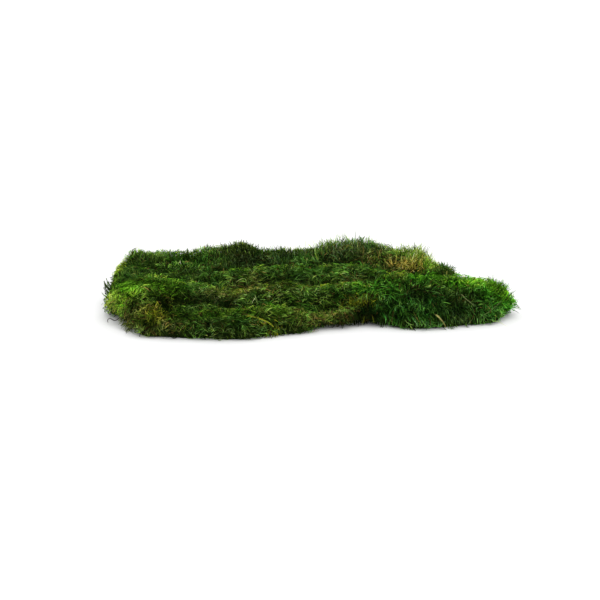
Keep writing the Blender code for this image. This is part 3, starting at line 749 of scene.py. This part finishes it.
def remap(nodes, links, value, low, high):
    """Spreads a noise's usual values over low to high."""
    node = nodes.new("ShaderNodeMapRange")
    node.inputs["From Min"].default_value = 0.3
    node.inputs["From Max"].default_value = 0.7
    node.inputs["To Min"].default_value = low
    node.inputs["To Max"].default_value = high
    links.new(value, node.inputs["Value"])
    return node.outputs["Result"]


def product(nodes, links, first, second):
    node = nodes.new("ShaderNodeMath")
    node.operation = "MULTIPLY"
    links.new(first, node.inputs[0])
    links.new(second, node.inputs[1])
    return node.outputs[0]


def scaled_colour(nodes, links, colour, factor):
    node = nodes.new("ShaderNodeVectorMath")
    node.operation = "SCALE"
    links.new(colour, node.inputs[0])
    links.new(factor, node.inputs["Scale"])
    return node.outputs["Vector"]


def blended(nodes, links, share, first, second):
    node = nodes.new("ShaderNodeMix")
    node.data_type = "RGBA"
    links.new(share, node.inputs["Factor"])
    node.inputs["A"].default_value = (*first, 1)
    node.inputs["B"].default_value = (*second, 1)
    return node.outputs["Result"]


def bumpy_shader(nodes, links, colour, roughness, height, strength, distance):
    """A dull surface with fine bumps."""
    shader = nodes.new("ShaderNodeBsdfPrincipled")
    links.new(colour, shader.inputs["Base Color"])
    links.new(roughness, shader.inputs["Roughness"])
    shader.inputs["Specular IOR Level"].default_value = 0.02
    bump = nodes.new("ShaderNodeBump")
    bump.inputs["Strength"].default_value = strength
    bump.inputs["Distance"].default_value = distance
    links.new(height, bump.inputs["Height"])
    links.new(bump.outputs["Normal"], shader.inputs["Normal"])
    return shader.outputs["BSDF"]


def leaf_material(name, translucency=0.35):
    """Thin leaves: the shoot's own tint, mottled from leaf to leaf, with some light coming through."""
    material, nodes, links = new_material(name)
    tint = nodes.new("ShaderNodeAttribute")
    tint.attribute_name = "tint"
    place = nodes.new("ShaderNodeTexCoord").outputs["Object"]
    fine = remap(nodes, links, noise(nodes, links, place, 800, 2), 0.78, 1.22)
    broad = remap(nodes, links, noise(nodes, links, place, 70, 3), 0.85, 1.15)
    colour = scaled_colour(nodes, links, tint.outputs["Color"], product(nodes, links, fine, broad))
    roughness = remap(nodes, links, noise(nodes, links, place, 500, 2), 0.5, 0.75)
    ridges = noise(nodes, links, place, 2500, 2)
    surface = bumpy_shader(nodes, links, colour, roughness, ridges, strength=0.4, distance=0.2 * MM)
    through = nodes.new("ShaderNodeBsdfTranslucent")
    links.new(colour, through.inputs["Color"])
    both = nodes.new("ShaderNodeMixShader")
    both.inputs["Fac"].default_value = translucency
    links.new(surface, both.inputs[1])
    links.new(through.outputs["BSDF"], both.inputs[2])
    links.new(both.outputs["Shader"], nodes.new("ShaderNodeOutputMaterial").inputs["Surface"])
    return material


def matted_material(name, dark, light, grain):
    """Packed dead stems, or bark and straw: two tones streaked together, rough and bumpy."""
    material, nodes, links = new_material(name)
    place = nodes.new("ShaderNodeTexCoord").outputs["Object"]
    coarse = remap(nodes, links, noise(nodes, links, place, grain / 5, 5, 0.7), 0, 1)
    fine = noise(nodes, links, place, grain, 5, 0.75)
    colour = blended(nodes, links, coarse, dark, light)
    colour = scaled_colour(nodes, links, colour, remap(nodes, links, fine, 0.5, 1.5))
    roughness = remap(nodes, links, fine, 0.8, 0.98)
    surface = bumpy_shader(nodes, links, colour, roughness, fine, strength=0.9, distance=1 * MM)
    links.new(surface, nodes.new("ShaderNodeOutputMaterial").inputs["Surface"])
    return material


# ---- the pieces
# Tones of the felted body: packed dead stems, darkened with painted shade
FELT_DARK = (0.003, 0.007, 0.001)
FELT_LIGHT = (0.012, 0.022, 0.003)


def inner_mat(surface):
    """The felted body under the shoots: packed dead stems, darkened with painted shade. Its underside stays
    on the floor.
    """
    obj = new_mesh_object("inner_mat", surface.points, surface.faces)
    remesh = obj.modifiers.new("Even out", "REMESH")
    remesh.mode = "VOXEL"
    remesh.voxel_size = INNER_VOXEL
    graph = bpy.context.evaluated_depsgraph_get()
    mesh = bpy.data.meshes.new_from_object(obj.evaluated_get(graph))
    obj.modifiers.clear()
    obj.data = mesh
    count = len(mesh.vertices)
    points, normals = np.empty(count * 3, np.float32), np.empty(count * 3, np.float32)
    mesh.vertices.foreach_get("co", points)
    mesh.vertices.foreach_get("normal", normals)
    points, normals = points.reshape(-1, 3), normals.reshape(-1, 3)
    depth = INNER_DEPTH * np.clip(1 + normals[:, 2:], 0, 1)
    points = points - depth * normals
    points[:, 2] = np.maximum(points[:, 2], FLOOR_GAP)
    mesh.vertices.foreach_set("co", points.ravel())
    mesh.shade_smooth()
    mesh.update()
    mesh.materials.append(matted_material("felted stems in painted shade", FELT_DARK, FELT_LIGHT, grain=420))
    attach(obj, "root")
    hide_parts("moss_mat")


def brightness(points, hollows, depth, rng):
    """How bright each shoot is: by chance, with painted shade in hollows and where its tip lies deep,
    painted light on crests, and the painted light and shade of SHADES.
    """
    chance = np.minimum(rng.normal(0, LIGHT_SPREAD, (len(points), 1)), LIGHT_LIMIT)
    size, strength = LIGHT_TUFTS
    tufts = strength * smooth_noise(points, size, rng)
    sunk = (np.array(HOLLOW_SHADES) * hollows / MM).sum(axis=1, keepdims=True)
    light = np.exp(chance + tufts - np.clip(sunk, *HOLLOW_LIMITS))
    return light * (mix(HIGH_TIPS, DEEP_TIPS, depth**0.8) * shade_at(points))


def hue_shift(points, light, rng):
    """How much redder, greener and bluer than its patch each shoot is."""
    count = len(points)
    size, strength = HUE_TUFTS
    hue = rng.normal(0, HUE_SPREAD, (count, 1)) + strength * smooth_noise(points, size, rng)
    pallor = np.exp(np.minimum(rng.normal(*PALLOR, (count, 1)), PALLOR_LIMIT))
    shift = np.concatenate([1 + hue, 1 + GREEN_SHIFT * hue, pallor * (1 + hue)], axis=1)
    return shift * (light / USUAL_LIGHT) ** np.array(PALING_WITH_LIGHT)


def facing_away(points, normals):
    """0 to 1: how far slopes above the floor face away from the camera, at the back and both ends: where
    painted backlight goes.
    """
    back = normals[:, 1:2]
    sides = END_GLOW * ramp(abs(points[:, :1]), *GLOW_ENDS) * abs(normals[:, :1])
    away = np.maximum(back, sides + FRONT_LOSS * np.minimum(back, 0))
    return ramp(away, *GLOW_FACING) * ramp(points[:, 2:], *GLOW_HEIGHTS)


def shoot_colours(points, normals, hollows, growth, depth, rng):
    """Each shoot's young and old colours: its patch's, brighter or darker by chance and by painted light
    and shade, with painted backlight on the young colour, and brown in dead ones.
    """
    light = brightness(points, hollows, depth, rng)
    shift = hue_shift(points, light, rng)
    dead = rng.random((len(points), 1)) < growth["dead"]
    young = growth["young"] * light * shift * np.array(RIM_GLOW) ** facing_away(points, normals)
    old = growth["old"] * light * shift
    patch_light = growth["young"].mean(axis=1, keepdims=True) / np.mean(GREEN[0])
    brown = np.array(DEAD_BROWN) * light * patch_light**DEAD_LIGHT
    return np.where(dead, brown, young), np.where(dead, DEAD_FOOT * brown, old)


# Middles of the pieces that the cover is split into, in millimetres
REGIONS = {
    "back_left": (-120, 70),
    "back_right": (70, 75),
    "left": (-130, -50),
    "middle": (-20, -30),
    "right": (125, -45),
}


def region_pieces(kind, strands, points, material):
    """One piece for the strands of each region of the mat."""
    middles = np.array(list(REGIONS.values())) * MM
    region = np.linalg.norm(points[:, None, :2] - middles, axis=2).argmin(axis=1)
    for i, name in enumerate(REGIONS):
        strands_object(f"{kind}_{name}", strands.only(region == i), material)


def cover(surface, kind, count, make, material, rng, standout=TIP_STANDOUT, rise=1.0):
    """Shoots of one kind all over the mat."""
    count = count
    points, normals, hollows = surface.scatter(count, rng)
    growth = growth_at(points)
    depth = rng.random((count, 1)) ** HIGH_BIAS
    line = shoot_lines(points, normals, growth, depth, rng, standout, rise)
    young, old = shoot_colours(points, normals, hollows, growth, depth, rng)
    size = rng.uniform(*SHOOT_SIZES, (count, 1)) * 1
    region_pieces(kind, make(line, young, old, size, rng), points, material)


def bundle_piece(name, bundles, make, points, normals, material, rng):
    """One piece of all the given bundles, rooted at some of the points."""
    made = []
    for bundle in bundles:
        light = np.exp(rng.normal(0, BUNDLE_LIGHT_SPREAD, (bundle.count, 1)))
        size = bundle.width * rng.uniform(*SHOOT_SIZES, (bundle.count, 1))
        line = bundle_lines(bundle, points, normals, rng)
        made.append(make(line, bundle.young * light, bundle.old * light, size, rng))
    strands_object(name, Strands(*put_together(made, axis=0), made[0].faces), material)


def standing_bundles(surface, material, rng):
    """The shoots and stalks that stand out of the mat, in two pieces: leafy ones and thin ones."""
    points, normals, _ = surface.scatter(BUNDLE_POINTS, rng)
    for name, leafy, make in (("leafy_bundles", True, leafy_shoots), ("thin_bundles", False, thin_shoots)):
        bundles = [bundle for bundle in BUNDLES.values() if bundle.leafy == leafy]
        bundle_piece(name, bundles, make, points, normals, material, rng)


# Dark and light tones of the loose pieces
STRAY_TONES = {
    "dry_stem": ((0.05, 0.07, 0.02), (0.22, 0.26, 0.10)),
    "thin_stem": ((0.03, 0.06, 0.01), (0.12, 0.18, 0.05)),
    "straw_flake": ((0.10, 0.09, 0.02), (0.36, 0.34, 0.11)),
    "yellow_strand": ((0.06, 0.11, 0.01), (0.42, 0.44, 0.03)),
    "twig_stub": ((0.006, 0.004, 0.003), (0.040, 0.026, 0.016)),
    "black_root": ((0.004, 0.003, 0.003), (0.022, 0.016, 0.012)),
    "front_root": ((0.004, 0.003, 0.003), (0.022, 0.016, 0.012)),
    "curly_root": ((0.010, 0.008, 0.005), (0.060, 0.045, 0.030)),
}


def dress_strays():
    """Straw, bark and root surfaces on the CAD model's own loose pieces."""
    for name, (dark, light) in STRAY_TONES.items():
        material = matted_material(name.replace("_", " "), dark, light, grain=900)
        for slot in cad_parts[name].material_slots:
            slot.material = material


# ---- the studio
FLOOR_REACH = 40.0
FLOOR_TONES = ((0.71, 0.71, 0.71), (0.73, 0.73, 0.73))
SOFTBOX_STRENGTH = 2.1
SOFTBOX_SPREAD = math.radians(60)
SOFTBOX_SIDE = Vector((0.18, -0.45, 1))  # the side that the light comes from

CAMERA_AIM = Vector((-6.5 * MM, 12 * MM, 0))
CAMERA_DISTANCE = 1.1
CAMERA_ELEVATION = math.radians(16)
CAMERA_LENS = 66
CAMERA_SENSOR = 36


def floor():
    """A pale matt sheet, too large for its edges to show."""
    corners = np.array([(-1, -1, 0), (1, -1, 0), (1, 1, 0), (-1, 1, 0)]) * FLOOR_REACH
    sheet = new_mesh_object("floor", corners, np.array([[0, 1, 2, 3]]))
    material, nodes, links = new_material("pale floor")
    place = nodes.new("ShaderNodeTexCoord").outputs["Object"]
    tone = remap(nodes, links, noise(nodes, links, place, 3, 2), 0, 1)
    shader = nodes.new("ShaderNodeBsdfPrincipled")
    links.new(blended(nodes, links, tone, *FLOOR_TONES), shader.inputs["Base Color"])
    shader.inputs["Roughness"].default_value = 0.9
    shader.inputs["Specular IOR Level"].default_value = 0.1
    links.new(shader.outputs["BSDF"], nodes.new("ShaderNodeOutputMaterial").inputs["Surface"])
    sheet.data.materials.append(material)


def lights():
    """White light from all round, and a large softbox overhead."""
    world = bpy.data.worlds.new("studio")
    world.use_nodes = True
    background = world.node_tree.nodes["Background"]
    background.inputs["Color"].default_value = (1, 1, 1, 1)
    background.inputs["Strength"].default_value = 1.0
    bpy.context.scene.world = world
    softbox = bpy.data.lights.new("overhead softbox", "SUN")
    softbox.energy = SOFTBOX_STRENGTH
    softbox.angle = SOFTBOX_SPREAD
    lamp = bpy.data.objects.new("overhead softbox", softbox)
    lamp.rotation_euler = SOFTBOX_SIDE.to_track_quat("Z", "Y").to_euler()
    bpy.context.scene.collection.objects.link(lamp)
    bpy.context.scene.view_settings.view_transform = "Standard"


def camera():
    """The photo's view: from the front, a little above the moss."""
    data = bpy.data.cameras.new("camera")
    data.lens = CAMERA_LENS
    data.sensor_width = CAMERA_SENSOR
    obj = bpy.data.objects.new("camera", data)
    back = Vector((0, -math.cos(CAMERA_ELEVATION), math.sin(CAMERA_ELEVATION)))
    obj.location = CAMERA_AIM + CAMERA_DISTANCE * back
    obj.rotation_euler = back.to_track_quat("Z", "Y").to_euler()
    bpy.context.scene.collection.objects.link(obj)
    bpy.context.scene.camera = obj


def main():
    rng = np.random.default_rng(SEED)
    surface = Surface()
    inner_mat(surface)
    material = leaf_material("moss leaves")
    cover(surface, "shoots", LEAFY_SHOOTS, leafy_shoots, material, rng)
    cover(surface, "threads", THIN_SHOOTS, thin_shoots, material, rng, THIN_STANDOUT, THIN_RISE)
    standing_bundles(surface, material, rng)
    dress_strays()
    camera()
    floor()
    lights()


main()
